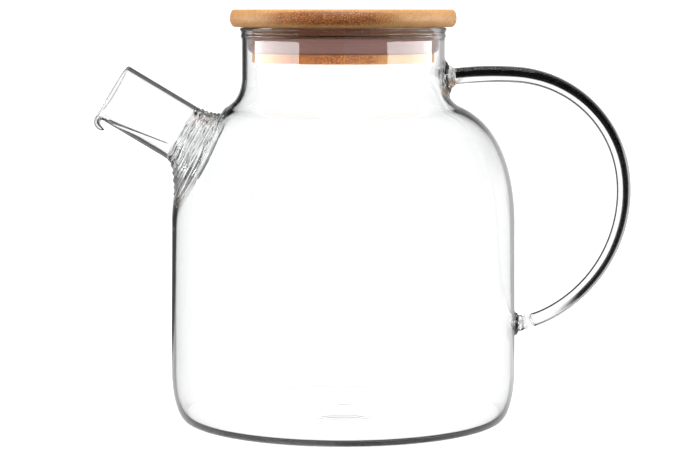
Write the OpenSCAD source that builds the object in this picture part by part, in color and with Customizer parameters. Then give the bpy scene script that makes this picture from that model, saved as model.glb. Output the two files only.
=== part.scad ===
// Round glass teapot with a straight neck, a slanted pouring spout, a looped
// tube handle and a lift-off bamboo lid held by a silicone ring.
// Millimetres. +Z is up, +X points to the handle, -X to the spout.
// The origin is on the pot's axis, in the plane that the base rests on.

/* [Body] */
// Outer diameter of the pot where it is widest
body_d = 141; // [138:0.5:144]
// Thickness of the blown wall
body_wall = 1.7; // [1.4:0.1:2.2]
// Thickness of the floor
base_t = 2.4; // [2:0.2:3.4]
// How much thicker the floor is at its centre, where the pontil was
base_rise = 1.2; // [0:0.2:2]
// How much narrower, in radius, the side is at the shoulder than low down
side_taper = 0.4; // [0:0.1:1]
// How far the rounded bottom corner reaches in from the side
corner_w = 6.2; // [5:0.2:10]
// How far the rounded bottom corner reaches up the side
corner_h = 20; // [16:1:26]
// Height at which the straight side ends and the shoulder begins
shoulder_z = 76.5; // [72:0.5:80]

/* [Neck] */
// Outer diameter of the straight neck
neck_d = 82.6; // [82:0.1:83.4]
// Thickness of the neck wall
neck_wall = 2.2; // [2:0.05:2.4]
// Height at which the neck becomes straight
neck_z = 139.8; // [139:0.2:141]
// Height of the rim
rim_z = 160.2; // [158:0.2:164]
// How far the fire-polished bead stands out at the rim
rim_bead = 0.8; // [0.4:0.1:1.2]

/* [Spout] */
// Angle of the spout above the horizontal
spout_angle = 31; // [28:1:33]
// Outer diameter of the spout
spout_d = 24.4; // [23:0.1:25]
// Thickness of the spout wall
spout_wall = 1.6; // [1.3:0.1:2]
// Length from the flat seat on the shoulder to the mouth
spout_len = 44; // [36:1:50]
// Angle of the flat seat's face above the horizontal
seat_angle = 29.8; // [28:0.2:30.6]
// Radius of the collar where it is fused to the seat
collar_r = 20.4; // [19:0.1:20.6]
// Height of the collar, from the seat to the plain tube
collar_h = 12; // [11:0.5:14]

/* [Handle] */
// Outer diameter of the handle tube
handle_d = 6; // [5.4:0.1:6.6]
// Thickness of the handle tube's wall
handle_wall = 1.2; // [0.8:0.1:1.6]
// Radius of the foot that joins the handle to the neck
upper_foot_r = 8.6; // [7:0.2:9.4]
// Radius of the foot that joins the handle to the side
lower_foot_r = 6.4; // [5:0.2:8]

/* [Lid] */
// Diameter of the bamboo disc
lid_d = 92; // [90:0.1:96]
// Thickness of the bamboo disc
lid_t = 7; // [6:0.2:9]
// Gap between the disc and the rim
lid_gap = 0.2; // [0.1:0.05:0.4]
// Diameter of the bamboo plug under the disc
plug_d = 74; // [73:0.2:75]
// How far the plug reaches below the disc
plug_len = 14.4; // [13.6:0.2:17]
// Gap round the silicone ring, to the neck and to the plug's groove
seal_gap = 0.15; // [0.1:0.05:0.2]
// Height of the groove for the silicone ring
groove_h = 6.8; // [6.4:0.2:7.2]
// Depth of the groove for the silicone ring
groove_depth = 2.6; // [2:0.2:3.4]
// How far the groove starts below the disc
groove_top = 3.8; // [3:0.2:4.2]

/* [Hidden] */
$fn = 96;

R = body_d / 2;
rs = R - side_taper;         // where the side meets the shoulder
rn = neck_d / 2;            // neck, outside
ri = rn - neck_wall;        // neck, inside
lid_z = rim_z + lid_gap;    // underside of the disc
plug_r = plug_d / 2;
groove_r = plug_r - groove_depth;

// The seat: a flat on the shoulder, square to a line seat_angle above the horizontal
seat_x = -59.7;
seat_z = 107.7;
// Where the spout's axis meets the seat
spout_x = -56.05;
spout_z = 111.5;

// The handle's centre line: arcs that follow each other smoothly, clockwise
// from the neck. Each is [radius, sweep].
h_x = 46.6;
h_z = 140.5;
h_heading = 6.2;
h_arcs = [[138, 10], [47.2, 81.5], [56.6, 66.3], [44.2, 13.5]];
handle_r = handle_d / 2;

// A cubic curve between a and d, with the handles b and c, without its first point
function cubic(a, b, c, d, n) = [for (i = [1:n]) let (t = i / n, u = 1 - t)
    u*u*u*a + 3*u*u*t*b + 3*u*t*t*c + t*t*t*d];

// The pot's outside, from the rim of the flat base to the top of the straight neck
function outside() = concat(
    [[R - corner_w, 0]],
    [for (i = [1:10]) let (a = i * 9) [R - corner_w + corner_w * sin(a), corner_h * (1 - cos(a))]],
    [[rs, shoulder_z]],
    cubic([rs, shoulder_z], [rs, shoulder_z + 7], [rs + 1.2, 117.6], [rs - 22.4, 128], 16),
    cubic([rs - 22.4, 128], [rs - 27.5, 130.3], [rn, neck_z - 3.6], [rn, neck_z], 8));

// Wall thickness at a height: the blown wall, thickening into the neck and the floor
function wall_at(z) = z < corner_h ? base_t + (body_wall - base_t) * sin(90 * z / corner_h)
    : z < 120 ? body_wall
    : body_wall + (neck_wall - body_wall) * min(1, (z - 120) / (neck_z - 120));

// The inside: each outside point moved inwards by the wall's thickness, square to the surface
function inward(p, i) = let (
    a = p[max(0, i - 1)], b = p[min(len(p) - 1, i + 1)],
    d = i == 0 ? [1, 0] : i == len(p) - 1 ? [0, 1] : (b - a) / norm(b - a),
    t = wall_at(p[i][1]))
    [p[i][0] - d[1] * t, p[i][1] + d[0] * t];
function inside() = let (p = outside()) [for (i = [0:len(p) - 1]) inward(p, i)];

// The bead round the rim, from the outside of the neck to its inside
function bead() = let (c = (rn + rim_bead + ri) / 2, w = (rn + rim_bead - ri) / 2) concat(
    [[rn, rim_z - 4], [rn + rim_bead * 0.35, rim_z - 3.5], [rn + rim_bead * 0.85, rim_z - 2.8]],
    [for (i = [0:12]) let (a = i * 15) [c + w * cos(a), rim_z - 1.5 + 1.5 * sin(a)]]);

// The solid shape of the pot's outside, and of the space inside it
module outer_form() {
    rotate_extrude() polygon(concat([[0, 0]], outside(), bead(), [[0, rim_z - 1.5]]));
}
module inner_form() {
    floor_pts = [for (i = [0:8]) let (x = 22 * i / 8)
        [x, base_t + base_rise * (1 + cos(180 * i / 8)) / 2]];
    rotate_extrude() polygon(concat(floor_pts, inside(), [[ri, rim_z + 5], [0, rim_z + 5]]));
}

module at_seat() { translate([seat_x, 0, seat_z]) rotate([0, seat_angle - 90, 0]) children(); }
module at_spout() { translate([spout_x, 0, spout_z]) rotate([0, spout_angle - 90, 0]) children(); }
// All that lies above the seat, as far up as where the shoulder meets it
module above_seat(drop) { at_seat() translate([-60, -60, -drop]) cube([84, 120, 60]); }

// The blown pot: shell, flat spout seat and the hole under the spout
module glass_body() {
    color([0.93, 0.96, 0.96, 0.35])
    difference() {
        outer_form();
        above_seat(0);
        difference() { inner_form(); above_seat(body_wall); }
        at_seat() cylinder(r = collar_r - body_wall, h = 20, center = true);
    }
}

// The flared collar between the seat and the spout's tube
module collar_form(inset, over) {
    hull() {
        at_seat() translate([0, 0, -over]) cylinder(r = collar_r - inset, h = 0.2 + over, $fn = 32);
        at_spout() translate([0, 0, collar_h - 0.2]) cylinder(r = spout_d / 2 - inset, h = 0.2 + over, $fn = 32);
    }
}
module spout_collar() {
    color([0.86, 0.9, 0.9, 0.45])
    difference() { collar_form(0, 0); collar_form(spout_wall, 0.5); }
}

// The plain tube, with a rolled pouring lip on the low side of its mouth
module spout_tube() {
    color([0.9, 0.95, 0.96, 0.4])
    union() {
        at_spout() translate([0, 0, collar_h]) difference() {
            cylinder(r = spout_d / 2, h = spout_len - collar_h);
            translate([0, 0, -1]) cylinder(r = spout_d / 2 - spout_wall, h = spout_len - collar_h + 2);
        }
        at_spout() translate([0, 0, spout_len - 0.6]) rotate([0, 0, 140])
            rotate_extrude(angle = 80) translate([spout_d / 2 + 0.1, 0]) circle(r = 1, $fn = 32);
    }
}

// The end point and the heading after the first k arcs
function arc_end(k) = k == 0 ? [h_x, h_z, h_heading] : let (
    s = arc_end(k - 1), r = h_arcs[k - 1][0], w = h_arcs[k - 1][1], e = s[2] - w)
    [s[0] + r * (sin(s[2]) - sin(e)), s[1] + r * (cos(e) - cos(s[2])), e];

// One arc of the handle, as a bent tube in the XZ plane. Arcs stop just short
// of each other, and the fused joint between them is a hair wider than the tube.
module arc_tube(k) {
    s = arc_end(k);
    r = h_arcs[k][0];
    w = h_arcs[k][1];
    short = 0.1 * 180 / (PI * r);
    a = k == 0 ? 0 : short;
    b = k == len(h_arcs) - 1 ? 0 : short;
    translate([s[0] + r * sin(s[2]), 0, s[1] - r * cos(s[2])])
        rotate([90, 0, 0]) rotate([0, 0, 90 + s[2] - w + b])
            rotate_extrude(angle = w - a - b, $fn = 180) translate([r, 0]) difference() {
                circle(r = handle_r, $fn = 48);
                circle(r = handle_r - handle_wall, $fn = 48);
            }
}
module arc_joint(k) {
    s = arc_end(k);
    translate([s[0], 0, s[1]]) rotate([0, 90 - s[2], 0]) difference() {
        cylinder(r = handle_r + 0.02, h = 0.6, center = true);
        cylinder(r = handle_r - handle_wall - 0.02, h = 1, center = true);
    }
}
module handle_tube() {
    color([0.35, 0.36, 0.38, 0.6])
    union() {
        for (k = [0:len(h_arcs) - 1]) arc_tube(k);
        for (k = [1:len(h_arcs) - 1]) arc_joint(k);
    }
}

// A foot: a solid trumpet whose narrow end meets the tube. Its axis is +Z
// and its narrow end is at z = 0.
module trumpet(foot_r, flare, back) {
    rotate_extrude() polygon(concat(
        [[0, 0], [handle_r, 0]],
        [for (i = [1:9]) let (a = i * 10)
            [handle_r + (foot_r - handle_r) * (1 - cos(a)), -flare * sin(a)]],
        [[foot_r, -flare - back], [0, -flare - back]]));
}
module handle_upper_foot() {
    color([0.8, 0.84, 0.85, 0.5])
    difference() {
        translate([h_x, 0, h_z]) rotate([0, 90 - h_heading, 0]) trumpet(upper_foot_r, 4.6, 3);
        outer_form();
    }
}
module handle_lower_foot() {
    e = arc_end(len(h_arcs));
    color([0.8, 0.84, 0.85, 0.5])
    difference() {
        translate([e[0], 0, e[1]]) rotate([0, 90 - (e[2] + 180), 0]) trumpet(lower_foot_r, 5, 3);
        outer_form();
    }
}

// The bamboo disc: crisp top edge, slightly bellied side, rounded bottom edge
module lid_disc() {
    r = lid_d / 2;
    color([0.80, 0.58, 0.36])
    translate([0, 0, lid_z]) rotate_extrude($fn = 180) polygon(concat(
        [[0, 0]],
        [for (i = [0:6]) let (a = -90 + i * 13) [r - 2.1 + 2.1 * cos(a), 2.1 + 2.1 * sin(a)]],
        [[r, lid_t * 0.55], [r - 0.15, lid_t - 0.8]],
        [for (i = [0:4]) let (a = i * 22.5) [r - 0.85 + 0.7 * cos(a), lid_t - 0.7 + 0.7 * sin(a)]],
        [[0, lid_t]]));
}

// The bamboo plug with the groove for the ring
module lid_plug() {
    color([0.72, 0.49, 0.28])
    translate([0, 0, lid_z]) rotate_extrude($fn = 180) polygon([
        [0, 0], [plug_r, 0], [plug_r, -groove_top], [groove_r, -groove_top],
        [groove_r, -groove_top - groove_h], [plug_r, -groove_top - groove_h],
        [plug_r, -plug_len + 0.6], [plug_r - 0.6, -plug_len], [0, -plug_len]]);
}

// The silicone ring: flat inside, upright outside, its lower edge rounded in
module lid_seal() {
    h = groove_h - 2 * seal_gap;
    ro = ri - seal_gap;
    color([0.70, 0.62, 0.58, 0.8])
    translate([0, 0, lid_z - groove_top - groove_h + seal_gap]) rotate_extrude($fn = 180) polygon(concat(
        [[groove_r + seal_gap, 0], [ro - 2.6, 0]],
        [for (i = [1:6]) let (a = -90 + i * 15) [ro - 2.6 + 2.6 * cos(a), 2.6 + 2.6 * sin(a)]],
        [[ro, h - 0.5], [ro - 0.5, h], [groove_r + seal_gap, h]]));
}

glass_body();
spout_collar();
spout_tube();
handle_tube();
handle_upper_foot();
handle_lower_foot();
lid_disc();
lid_plug();
lid_seal();
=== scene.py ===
import math

import bmesh
import bpy
import numpy as np
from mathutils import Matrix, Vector, noise


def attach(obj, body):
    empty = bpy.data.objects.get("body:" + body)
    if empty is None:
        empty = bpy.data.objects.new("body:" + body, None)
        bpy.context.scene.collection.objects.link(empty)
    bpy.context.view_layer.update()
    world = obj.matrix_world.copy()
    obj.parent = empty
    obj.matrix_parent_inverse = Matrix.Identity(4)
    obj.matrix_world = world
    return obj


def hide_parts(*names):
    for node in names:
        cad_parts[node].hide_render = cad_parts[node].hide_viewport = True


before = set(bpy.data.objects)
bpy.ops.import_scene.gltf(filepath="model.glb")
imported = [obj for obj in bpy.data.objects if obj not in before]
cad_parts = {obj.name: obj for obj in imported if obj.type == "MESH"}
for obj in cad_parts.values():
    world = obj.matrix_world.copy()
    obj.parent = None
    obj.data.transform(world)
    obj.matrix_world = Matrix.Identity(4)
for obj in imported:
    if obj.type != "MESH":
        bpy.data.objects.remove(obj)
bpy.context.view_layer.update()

MM = 0.001
rng = np.random.default_rng(7)

# ------------------------------------------------------------------ camera
scene = bpy.context.scene
cam_data = bpy.data.cameras.new("camera")
cam = bpy.data.objects.new("camera", cam_data)
scene.collection.objects.link(cam)
cam.location = (-0.0013, -0.9184, 0.1689)
cam.rotation_euler = (math.radians(90 - 5.61), 0, 0)
cam_data.sensor_width = 36
cam_data.lens = 119.2
cam_data.clip_start, cam_data.clip_end = 0.02, 60
scene.camera = cam
scene.view_settings.view_transform = "Standard"
scene.view_settings.look = "None"
scene.view_settings.exposure = 0
scene.view_settings.gamma = 1
scene.cycles.max_bounces = 28
scene.cycles.transmission_bounces = 28
scene.cycles.glossy_bounces = 16
scene.cycles.transparent_max_bounces = 24


# ------------------------------------------------------------------ profile of the pot, in mm
R, RS, RN = 70.5, 70.1, 41.3
RI = 39.1
CORNER_W, CORNER_H, SHOULDER_Z, NECK_Z = 6.2, 20.0, 76.5, 139.8
BASE_T, BASE_RISE, WALL, NECK_WALL = 2.4, 0.7, 1.7, 2.2
BEAD_Z = 154.0


def cubic(a, b, c, d, n):
    t = np.linspace(0, 1, n + 1)[1:, None]
    a, b, c, d = (np.array(p, float) for p in (a, b, c, d))
    return (1 - t) ** 3 * a + 3 * (1 - t) ** 2 * t * b + 3 * (1 - t) * t * t * c + t**3 * d


def smooth(x, lo, hi):
    t = np.clip((np.asarray(x, float) - lo) / (hi - lo), 0, 1)
    return t * t * (3 - 2 * t)


def dense_profile():
    """Outside and inside of the pot as two curves that share one parameter, the outside's length."""
    flat = np.linspace(0, R - CORNER_W, 400)
    o = [np.stack([flat, 0 * flat], 1)]
    rb = R - CORNER_W - 0.3
    rf = flat / (R - CORNER_W) * rb
    # the ground-off pontil: a low dome with a shallow ring round it
    rise = BASE_RISE * (0.5 + 0.5 * np.cos(np.pi * np.clip(rf / 22, 0, 1)))
    rise = rise - 0.28 * np.exp(-(((rf - 12.6) / 1.5) ** 2))
    i = [np.stack([rf, BASE_T + rise], 1)]
    a = np.linspace(0, math.pi / 2, 300)[1:]
    o.append(np.stack([R - CORNER_W + CORNER_W * np.sin(a), CORNER_H * (1 - np.cos(a))], 1))
    i.append(np.stack([rb + (R - WALL - rb) * np.sin(a), BASE_T + (CORNER_H - BASE_T) * (1 - np.cos(a))], 1))
    side = np.linspace(CORNER_H, SHOULDER_Z, 300)[1:]
    side_r = np.interp(side, [CORNER_H, SHOULDER_Z], [R, RS])
    o.append(np.stack([side_r, side], 1))
    up = [np.array([[RS, SHOULDER_Z]]),
          cubic((RS, SHOULDER_Z), (RS, SHOULDER_Z + 7), (RS + 1.2, 117.6), (RS - 22.4, 128), 500),
          cubic((RS - 22.4, 128), (RS - 27.5, 130.3), (RN, NECK_Z - 3.6), (RN, NECK_Z), 300),
          np.stack([RN + 0 * np.linspace(0, 1, 120)[1:], np.linspace(NECK_Z, BEAD_Z, 120)[1:]], 1)]
    up = np.concatenate(up)
    o.append(up[1:])
    # inside of the side, shoulder and neck: the outside moved in by the wall
    side_in = np.stack([side_r - WALL, side], 1)
    d = np.gradient(up, axis=0)
    d /= np.linalg.norm(d, axis=1)[:, None]
    t = WALL + (NECK_WALL - WALL) * smooth(up[:, 1], 116, NECK_Z)
    up_in = up + np.stack([-d[:, 1], d[:, 0]], 1) * t[:, None]
    i += [side_in, up_in[1:]]
    o, i = np.concatenate(o), np.concatenate(i)
    v = np.concatenate([[0], np.cumsum(np.linalg.norm(np.diff(o, axis=0), axis=1))])
    return v, o, i


V, OUT, INN = dense_profile()


def v_at_z(z):
    k = OUT[:, 1] > 0.5
    return float(np.interp(z, OUT[k, 1], V[k]))


# the flat seat of the spout
SEAT = np.array([-59.7, 0, 107.7])
A = math.radians(29.8)
SEAT_N = np.array([-math.cos(A), 0, math.sin(A)])
SEAT_UP = np.array([math.sin(A), 0, math.cos(A)])
EY = np.array([0.0, 1.0, 0.0])


def surface(th, v, inner=False):
    """A point of the pot's outside or inside skin, with the seat pressed flat."""
    th, v = np.asarray(th, float), np.asarray(v, float)
    prof = INN if inner else OUT
    r, z = np.interp(v, V, prof[:, 0]), np.interp(v, V, prof[:, 1])
    p = np.stack([r * np.cos(th), r * np.sin(th), z], -1)
    q = p - SEAT
    a = q @ SEAT_UP
    # the wall is gathered thicker round the low half of the spout's hole
    d = q @ SEAT_N + ((WALL + 1.4 * (1 - smooth(a, -2, 18))) if inner else 0.0)
    k = 1.2 if inner else 0.5
    g = 0.5 * (d + np.sqrt(d * d + k * k))
    g = g * (1 - smooth(a, 21, 30)) * smooth(a, -60, -36) * (p[..., 0] < 0)
    return p - SEAT_N * g[..., None]


def solve_loop(centre, up, rho, phi, sign, z_range, inner=False):
    """Where a round seat of radius rho, seen along its axis, crosses the pot's skin."""
    prof = INN if inner else OUT
    k = (V > v_at_z(z_range[0])) & (V < v_at_z(z_range[1]))
    v, r, z = V[k], prof[k, 0], prof[k, 1]
    th, vv = [], []
    for ph in phi:
        a, b = rho * math.cos(ph), rho * math.sin(ph)
        x = sign * np.sqrt(np.maximum(r * r - b * b, 0))
        along = (x - centre[0]) * up[0] + (z - centre[2]) * up[2]
        n = np.argsort(along)
        vk = np.interp(a, along[n], v[n])
        xk = sign * math.sqrt(max(np.interp(vk, V, prof[:, 0]) ** 2 - b * b, 0))
        th.append(math.atan2(b, xk))
        vv.append(vk)
    th = np.array(th)
    if sign < 0:
        th = np.where(th < 0, th + 2 * math.pi, th)
    return th, np.array(vv)


# ------------------------------------------------------------------ mesh helper
class Builder:
    def __init__(self):
        self.v, self.f, self.m, self.attr = [], [], [], []

    def add(self, pts, attr=0.0):
        pts = np.asarray(pts, float).reshape(-1, 3)
        start = len(self.v)
        self.v += [tuple(p) for p in pts]
        self.attr += list(np.broadcast_to(attr, (len(pts),)))
        return list(range(start, start + len(pts)))

    def quad(self, a, b, c, d, m=0):
        face = []
        for k in (a, b, c, d):
            if k not in face:
                face.append(k)
        if len(face) > 2:
            self.f.append(tuple(face))
            self.m.append(m)

    def rings(self, r0, r1, m=0):
        n = len(r0)
        for k in range(n):
            self.quad(r0[k], r0[(k + 1) % n], r1[(k + 1) % n], r1[k], m)

    def fan(self, ring, centre, m=0):
        n = len(ring)
        for k in range(n):
            self.quad(ring[k], ring[(k + 1) % n], centre, centre, m)

    def build(self, name, mats, flip=None, merge=0.0):
        me = bpy.data.meshes.new(name)
        me.from_pydata([(x * MM, y * MM, z * MM) for x, y, z in self.v], [], self.f)
        me.polygons.foreach_set("material_index", self.m)
        at = me.attributes.new("painted_shade_and_tint", "FLOAT", "POINT")
        at.data.foreach_set("value", np.array(self.attr, np.float32))
        for m in mats:
            me.materials.append(m)
        bm = bmesh.new()
        bm.from_mesh(me)
        if merge:
            bmesh.ops.remove_doubles(bm, verts=bm.verts, dist=merge * MM)
        bmesh.ops.recalc_face_normals(bm, faces=bm.faces)
        if flip is not None:
            bm.verts.ensure_lookup_table()
            bad = [f for f in bm.faces if all(flip[v.index] for v in f.verts)]
            bmesh.ops.reverse_faces(bm, faces=bad)
        for e in bm.edges:
            if len(e.link_faces) == 2 and e.link_faces[0].material_index != e.link_faces[1].material_index:
                e.smooth = False
        for f in bm.faces:
            f.smooth = True
        bm.to_mesh(me)
        bm.free()
        ob = bpy.data.objects.new(name, me)
        scene.collection.objects.link(ob)
        return ob


# ------------------------------------------------------------------ materials
def new_material(name):
    m = bpy.data.materials.new(name)
    m.use_nodes = True
    nt = m.node_tree
    nt.nodes.clear()
    return m, nt


def node(nt, kind, **inputs):
    n = nt.nodes.new(kind)
    for key, value in inputs.items():
        n.inputs[key.replace("_", " ")].default_value = value
    return n


def glass_material(name, tint, painted_shade_and_tint, wave=0.06, gleam=1.0):
    m, nt = new_material(name)
    out = nt.nodes.new("ShaderNodeOutputMaterial")
    b = nt.nodes.new("ShaderNodeBsdfPrincipled")
    b.inputs["Transmission Weight"].default_value = 1.0
    b.inputs["IOR"].default_value = 1.47
    b.inputs["Roughness"].default_value = 0.0
    b.inputs["Specular Tint"].default_value = (gleam, gleam, gleam, 1)
    nt.links.new(b.outputs[0], out.inputs["Surface"])
    pos = nt.nodes.new("ShaderNodeTexCoord")
    # hardly visible cords and thick-and-thin in the tint of the glass
    cords = node(nt, "ShaderNodeTexNoise", Scale=22.0, Detail=3.0, Roughness=0.55, Distortion=0.6)
    nt.links.new(pos.outputs["Object"], cords.inputs["Vector"])
    ramp = nt.nodes.new("ShaderNodeMix")
    ramp.data_type = "RGBA"
    ramp.inputs[6].default_value = (*tint, 1)
    ramp.inputs[7].default_value = (*[min(1.0, t * 1.012) for t in tint], 1)
    nt.links.new(cords.outputs["Fac"], ramp.inputs[0])
    colour = ramp.outputs[2]
    # painted shade: where the mesh's attribute is 1 the tint goes to the given dark value; it marks the handle's dark
    # band, the welds' streaks and the spout's edge, and the tint of the ground ring and the tube's ends
    at = nt.nodes.new("ShaderNodeAttribute")
    at.attribute_name = "painted_shade_and_tint"
    mix = nt.nodes.new("ShaderNodeMix")
    mix.data_type = "RGBA"
    nt.links.new(at.outputs["Fac"], mix.inputs[0])
    nt.links.new(colour, mix.inputs[6])
    mix.inputs[7].default_value = (painted_shade_and_tint, painted_shade_and_tint, painted_shade_and_tint, 1)
    colour = mix.outputs[2]
    nt.links.new(colour, b.inputs["Base Color"])
    # the slight waviness of hand-worked glass
    wav = node(nt, "ShaderNodeTexNoise", Scale=38.0, Detail=2.0, Roughness=0.4)
    nt.links.new(pos.outputs["Object"], wav.inputs["Vector"])
    bump = nt.nodes.new("ShaderNodeBump")
    bump.inputs["Strength"].default_value = wave
    bump.inputs["Distance"].default_value = 0.0006
    nt.links.new(wav.outputs["Fac"], bump.inputs["Height"])
    nt.links.new(bump.outputs["Normal"], b.inputs["Normal"])
    return m


def fused_material():
    """Where two glass parts are melted into one there is no surface to see."""
    m, nt = new_material("fused_joint")
    out = nt.nodes.new("ShaderNodeOutputMaterial")
    t = nt.nodes.new("ShaderNodeBsdfTransparent")
    nt.links.new(t.outputs[0], out.inputs["Surface"])
    return m


CLEAR = glass_material("clear_glass", (0.972, 0.976, 0.975), 0.05)
WELD = glass_material("welded_glass", (0.955, 0.96, 0.96), 0.04, wave=0.12)
TUBE = glass_material("handle_glass", (0.97, 0.975, 0.975), 0.003, wave=0.008, gleam=0.35)
FUSED = fused_material()
GLASS = [CLEAR, FUSED]

# ------------------------------------------------------------------ handle's centre line, mm
H_START, H_HEAD = np.array([46.6, 0, 140.5]), 6.2
H_ARCS = [(138.0, 10.0), (47.2, 81.5), (56.6, 66.3), (44.2, 13.5)]


def handle_line(step=1.6):
    pts, head, length = [H_START.copy()], [H_HEAD], [0.0]
    p, h, l = H_START.copy(), H_HEAD, 0.0
    for r, sweep in H_ARCS:
        n = max(2, int(round(r * math.radians(sweep) / step)))
        c = p + r * np.array([math.sin(math.radians(h)), 0, -math.cos(math.radians(h))])
        for k in range(1, n + 1):
            hh = math.radians(h - sweep * k / n)
            pts.append(c + r * np.array([-math.sin(hh), 0, math.cos(hh)]))
            head.append(h - sweep * k / n)
            length.append(l + r * math.radians(sweep) * k / n)
        p, h, l = pts[-1].copy(), h - sweep, length[-1]
    return np.array(pts), np.array(head), np.array(length)


HP, HH, HL = handle_line()
H_END, H_OUT = HP[-1], HH[-1] + 180.0     # the lower foot's axis points out along this heading


def handle_radius(l):
    return np.interp(l, [0, 10, 30, 60, 100, 135, 160, 170], [3.32, 3.36, 3.22, 2.98, 2.88, 2.74, 2.78, 2.86])


# ------------------------------------------------------------------ the pot's grid
NTH = 192
TH = np.arange(NTH) * 2 * math.pi / NTH
vz = v_at_z
rows = np.concatenate([
    np.linspace(0, 24, 33)[1:], np.linspace(24, 58, 11)[1:],
    np.linspace(58, vz(CORNER_H), 26)[1:], np.linspace(vz(CORNER_H), vz(80), 27)[1:],
    np.linspace(vz(80), vz(NECK_Z), 54)[1:], np.linspace(vz(NECK_Z), V[-1], 12)[1:]])

UP_F = np.array([-math.sin(math.radians(H_HEAD)), 0, math.cos(math.radians(H_HEAD))])
LO_F = np.array([-math.sin(math.radians(H_OUT)), 0, math.cos(math.radians(H_OUT))])


def nearest_row(z):
    return int(np.argmin(abs(rows - vz(z))))


UP_Z = H_START[2] - (H_START[0] - RN) * math.tan(math.radians(H_HEAD))
LO_Z = H_END[2] - (H_END[0] - R) * math.tan(math.radians(H_OUT))
HOLES = {
    "spout": dict(i=NTH // 2, hi=19, j0=nearest_row(80.5), j1=nearest_row(133.5), centre=SEAT, up=SEAT_UP,
                  rho=20.4, rho_in=18.7, sign=-1, z=(60, 136), n=16),
    "upper": dict(i=0, hi=9, j0=nearest_row(UP_Z) - 7, j1=nearest_row(UP_Z) + 7, centre=H_START, up=UP_F,
                  rho=8.6, rho_in=8.6, sign=1, z=(118, 154), n=6),
    "lower": dict(i=0, hi=9, j0=nearest_row(LO_Z) - 7, j1=nearest_row(LO_Z) + 7, centre=H_END, up=LO_F,
                  rho=6.4, rho_in=6.4, sign=1, z=(24, 62), n=8),
}


def block_edge(h):
    i0, i1, j0, j1 = h["i"] - h["hi"], h["i"] + h["hi"], h["j0"], h["j1"]
    edge = [(i, j0) for i in range(i0, i1)] + [(i1, j) for j in range(j0, j1)]
    edge += [(i, j1) for i in range(i1, i0, -1)] + [(i0, j) for j in range(j1, j0, -1)]
    return edge


for h in HOLES.values():
    h["edge"] = block_edge(h)
    th = np.array([e[0] for e in h["edge"]]) * 2 * math.pi / NTH
    vv = rows[[e[1] for e in h["edge"]]]
    p = surface(th, vv) - h["centre"]
    h["phi"] = np.unwrap(np.arctan2(p[:, 1], p @ h["up"]))
    # spread the loop's points a little more evenly than their angles alone would
    even = h["phi"][0] + np.sign(h["phi"][-1] - h["phi"][0]) * np.arange(len(th)) * 2 * math.pi / len(th)
    h["phi"] = 0.45 * h["phi"] + 0.55 * even
    h["th"], h["v"] = th, vv
    h["loop"] = solve_loop(h["centre"], h["up"], h["rho"], h["phi"], h["sign"], h["z"])
    h["loop_in"] = solve_loop(h["centre"], h["up"], h["rho_in"], h["phi"], h["sign"], h["z"], inner=True)
    h["out_pts"] = surface(*h["loop"])
    h["in_pts"] = surface(*h["loop_in"], inner=True)


def rim_curve():
    """The fire-polished rim, from the outside of the neck over the top to the inside."""
    pts = np.array([(0, 152.6), (0, 154.0), (0.04, 155.5), (0.45, 156.7), (0.2, 157.7), (0.4, 158.6),
                    (0.75, 159.3), (0.4, 159.95), (-0.6, 160.2), (-1.5, 160.1), (-2.05, 159.5),
                    (-2.2, 158.4), (-2.2, 156.5), (-2.2, 154.0), (-2.2, 152.6)]) + (RN, 0)
    out = []
    for k in range(1, len(pts) - 2):
        a, b, c, d = pts[k - 1:k + 3]
        for t in np.linspace(0, 1, 5)[:-1]:
            out.append(0.5 * (2 * b + (c - a) * t + (2 * a - 5 * b + 4 * c - d) * t * t + (3 * b - a - 3 * c + d) * t**3))
    return np.array(out[1:])


def build_body():
    b = Builder()
    skins = []
    for inner in (False, True):
        centre = b.add(surface(0.0, 0.0, inner))[0]
        # the ground ring round the pontil is a little dull
        grid = [b.add(surface(TH, np.full(NTH, v), inner), 0.07 * inner * math.exp(-(((v - 12.6) / 0.9) ** 2)))
                for v in rows]
        b.fan(grid[0], centre)
        skip = set()
        for h in HOLES.values():
            for j in range(h["j0"], h["j1"]):
                for i in range(h["i"] - h["hi"], h["i"] + h["hi"]):
                    skip.add((i % NTH, j))
        for j in range(len(rows) - 1):
            for i in range(NTH):
                if (i, j) not in skip:
                    b.quad(grid[j][i], grid[j][(i + 1) % NTH], grid[j + 1][(i + 1) % NTH], grid[j + 1][i])
        for h in HOLES.values():
            ring = [grid[j][i % NTH] for i, j in h["edge"]]
            lth, lv = h["loop_in"] if inner else h["loop"]
            for k in range(1, h["n"] + 1):
                t = (k / h["n"]) ** 0.85
                dth = (lth - h["th"] + math.pi) % (2 * math.pi) - math.pi
                nxt = b.add(surface(h["th"] + dth * t, h["v"] + (lv - h["v"]) * t, inner))
                b.rings(ring, nxt)
                ring = nxt
            h["ring_in" if inner else "ring_out"] = ring
        skins.append(grid[-1])
    for h in HOLES.values():
        b.rings(h["ring_out"], h["ring_in"], 1)
    prev = skins[0]
    for r, z in rim_curve():
        nxt = b.add(np.stack([r * np.cos(TH), r * np.sin(TH), z + 0 * TH], 1))
        b.rings(prev, nxt)
        prev = nxt
    b.rings(prev, skins[1])
    return b.build("pot_body", GLASS)


# ------------------------------------------------------------------ spout
SPOUT = np.array([-56.05, 0, 111.5])
SP_A = math.radians(31)
SP_D = np.array([-math.cos(SP_A), 0, math.sin(SP_A)])
SP_UP = np.array([math.sin(SP_A), 0, math.cos(SP_A)])
SP_R, SP_RI, SP_S0, SP_LEN = 12.2, 10.6, 12.0, 44.0


def spout_point(s, r, phi):
    s, r, phi = np.broadcast_arrays(s, r, phi)
    return SPOUT + s[..., None] * SP_D + (r * np.cos(phi))[..., None] * SP_UP + (r * np.sin(phi))[..., None] * EY


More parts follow.
